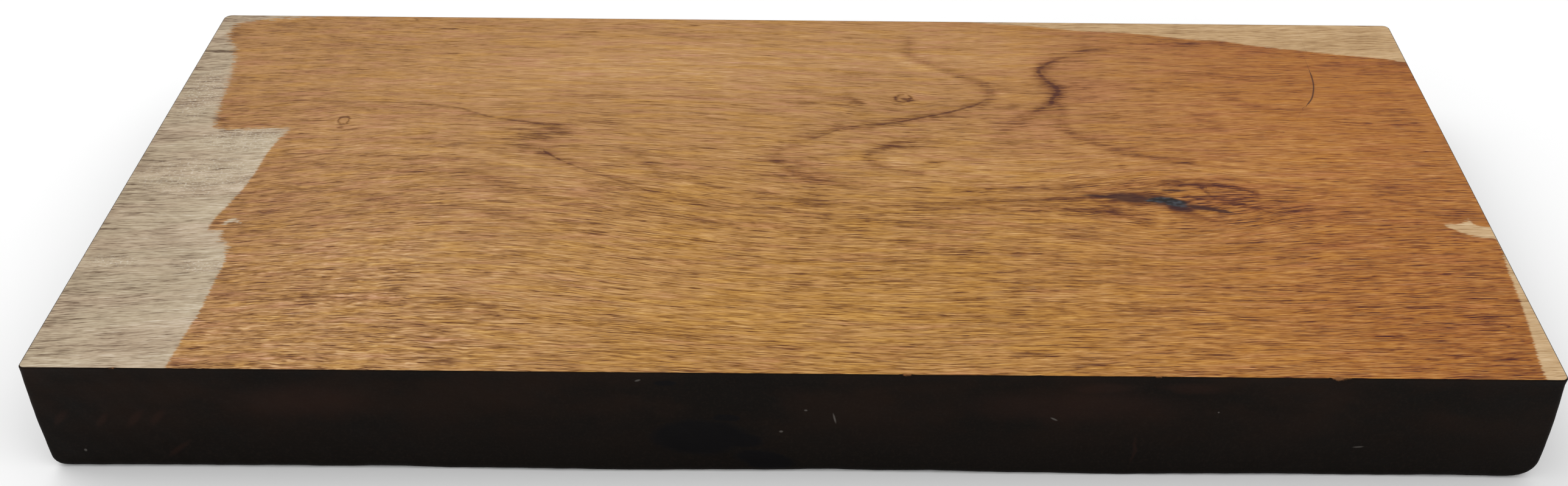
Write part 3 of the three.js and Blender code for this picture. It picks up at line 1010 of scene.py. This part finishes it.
def sealed_side():
    """The four sides: near-black sealer over sawn wood, rubbed through at the chips."""
    m = Shader("sealed_side")
    at = m.place()
    x, y, z = m.parts(at)
    cloud = m.noise(at, (46, 46, 22), detail=3, rough=0.55, shift=3.0)
    blotch = m.noise(at, (13, 13, 9), detail=3, rough=0.6, shift=9.0)
    grit = m.noise(at, (0.9, 0.9, 0.9), detail=3, rough=0.6, shift=14.0)
    brushed = m.noise(at, (16, 16, 0.9), shift=19.0)
    # Red-brown mottle in the sealer, faded out towards the foot: painted shade that keeps the
    # lower side darker
    red_mottle_and_foot_shade = m.step(cloud * 0.7 + blotch * 0.3, 0.36, 0.66) * m.step(z, 2, 34)
    colour = m.mix(red_mottle_and_foot_shade, srgb(13, 9, 6), srgb(26, 16, 10))
    colour = m.mix(m.step(grit, 0.45, 0.75) * 0.3, colour, srgb(34, 26, 20))

    # The near side has wet drips, dull red smears and a few pale nicks
    near_side = m.step(y, 8, 4)
    face = m.join(x, z)
    blotched = m.moved(face, m.signed(blotch, 2.5), m.signed(blotch, 1.6))
    drips = m.spots(blotched, DRIPS, 0.2) * near_side
    smears = m.spots(blotched, RED_SMEARS, 0.6) * near_side
    pale = m.spots(face, PALE_NICKS) * near_side
    colour = m.mix(drips * 0.92, colour, srgb(5, 4, 5))
    colour = m.mix(smears * 0.3, colour, srgb(46, 27, 20))
    colour = m.mix(pale * 0.25, colour, srgb(140, 134, 128))

    # Bare wood shows where the top edge is chipped
    bare = m.step(m.field("chipped") + m.signed(grit, 0.12), 0.22, 0.4)
    colour = m.mix(bare, colour, srgb(126, 84, 50))
    roughness = 0.58 + m.signed(blotch, 0.12) + drips * -0.25
    slant = m.noise(m.join(x + z * 0.75, y), (2.6, 90))
    height = grit * 0.35 + blotch * 0.3 + brushed * 0.2 + slant * 0.25
    return m.finish(colour, roughness, height, 0.14, 0.05)


def sawn_underside():
    """The underside: dry wood off the saw, with sealer that ran in over its rim."""
    m = Shader("sawn_underside")
    at = m.place()
    x, y, _ = m.parts(at)
    grain = m.join(x, y + m.node("Math", {0: x * 0.018}, operation="SINE") * 3.0)
    bands = m.noise(grain, (140, 8), detail=3, shift=71.0)
    fibres = m.noise(grain, (9, 0.7), rough=0.6, shift=74.0)
    pores = m.step(m.noise(grain, (5.2, 0.4), detail=1, shift=78.0), 0.6, 0.7)
    bend = x + m.math("POWER", y * 0.01 - 1.1, 2.0) * 7.0
    saw = m.noise(m.join(bend, y * 0.02), (2.4, 1), shift=80.0)
    tone = (0.47 + m.signed(bands, 0.14) + m.signed(fibres, 0.16) + pores * -0.2
            + m.signed(saw, 0.12))
    colour = m.mix(m.step(bands, 0.35, 0.7), m.ramp(tone, DRY_RIGHT), m.ramp(tone, DRY_LEFT))
    from_rim = m.math("MINIMUM", x + LENGTH / 2, LENGTH / 2 - x, y, WIDTH - y)
    runs = m.noise(at, (16, 16), detail=4, rough=0.6, shift=84.0)
    sealed = m.step(from_rim + m.signed(runs, -18.0), 9.5, 8.0)
    coat = m.mix(m.step(runs, 0.4, 0.6), srgb(22, 18, 17), srgb(38, 28, 24))
    colour = m.mix(sealed, colour, coat)
    roughness = m.blend(sealed, 0.78, 0.6) + m.signed(fibres, 0.06)
    height = pores * -0.3 + saw * 0.8 + sealed * 0.4
    return m.finish(colour, roughness, height, 0.15, 0.15)


def add_camera():
    """The photograph's camera, from its solved place and turns."""
    data = bpy.data.cameras.new("camera")
    data.sensor_width = 36.0
    data.lens = FOCAL_PIXELS * data.sensor_width / FRAME_WIDTH
    data.shift_x = (FRAME_WIDTH / 2 - AXIS_PIXEL_X) / FRAME_WIDTH
    camera = bpy.data.objects.new("camera", data)
    place = Vector(CAMERA_PLACE) + Vector((0, NEAR_EDGE, 0))
    camera.matrix_world = Matrix.Translation(place * MM)
    for angle, axis in ((CAMERA_TURN, "Z"), (90 - CAMERA_DOWN, "X"), (-CAMERA_ROLL, "Z")):
        camera.matrix_world @= Matrix.Rotation(math.radians(angle), 4, axis)
    bpy.context.scene.collection.objects.link(camera)
    bpy.context.scene.camera = camera


def add_floor():
    """A plain pale floor, some metres wide each way."""
    half = 4.0
    mesh = bpy.data.meshes.new("floor")
    corners = [(-half, -half, 0), (half, -half, 0), (half, half, 0), (-half, half, 0)]
    mesh.from_pydata(corners, [], [(0, 1, 2, 3)])
    floor = bpy.data.objects.new("floor", mesh)
    bpy.context.scene.collection.objects.link(floor)
    material = bpy.data.materials.new("floor")
    material.use_nodes = True
    shader = material.node_tree.nodes["Principled BSDF"]
    shader.inputs["Base Color"].default_value = (0.94, 0.94, 0.94, 1)
    shader.inputs["Roughness"].default_value = 0.9
    shader.inputs["Specular IOR Level"].default_value = 0.0
    mesh.materials.append(material)


def add_lamp(name, place, aim, size, power):
    """A soft square lamp at a place, pointed at another, in metres and watts."""
    data = bpy.data.lights.new(name, "AREA")
    data.size = size
    data.energy = power
    lamp = bpy.data.objects.new(name, data)
    lamp.location = place
    lamp.rotation_euler = (Vector(aim) - Vector(place)).to_track_quat("-Z", "Y").to_euler()
    bpy.context.scene.collection.objects.link(lamp)


def add_light():
    """Plain soft studio light: a bright even room and two large lamps."""
    world = bpy.data.worlds.new("studio")
    world.use_nodes = True
    background = world.node_tree.nodes["Background"]
    background.inputs["Color"].default_value = (1, 1, 1, 1)
    background.inputs["Strength"].default_value = 0.82
    bpy.context.scene.world = world
    add_lamp("key", (-0.9, 0.5, 1.6), (0, 0, 0), 1.4, 10)
    add_lamp("fill", (1.1, -0.6, 1.5), (0, 0, 0), 1.4, 5.5)


add_camera()
add_floor()
add_light()
bpy.context.scene.view_settings.view_transform = "Standard"

billet = bpy.data.objects.new("mahogany_billet", build_mesh())
bpy.context.scene.collection.objects.link(billet)
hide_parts("billet")
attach(billet, "root")
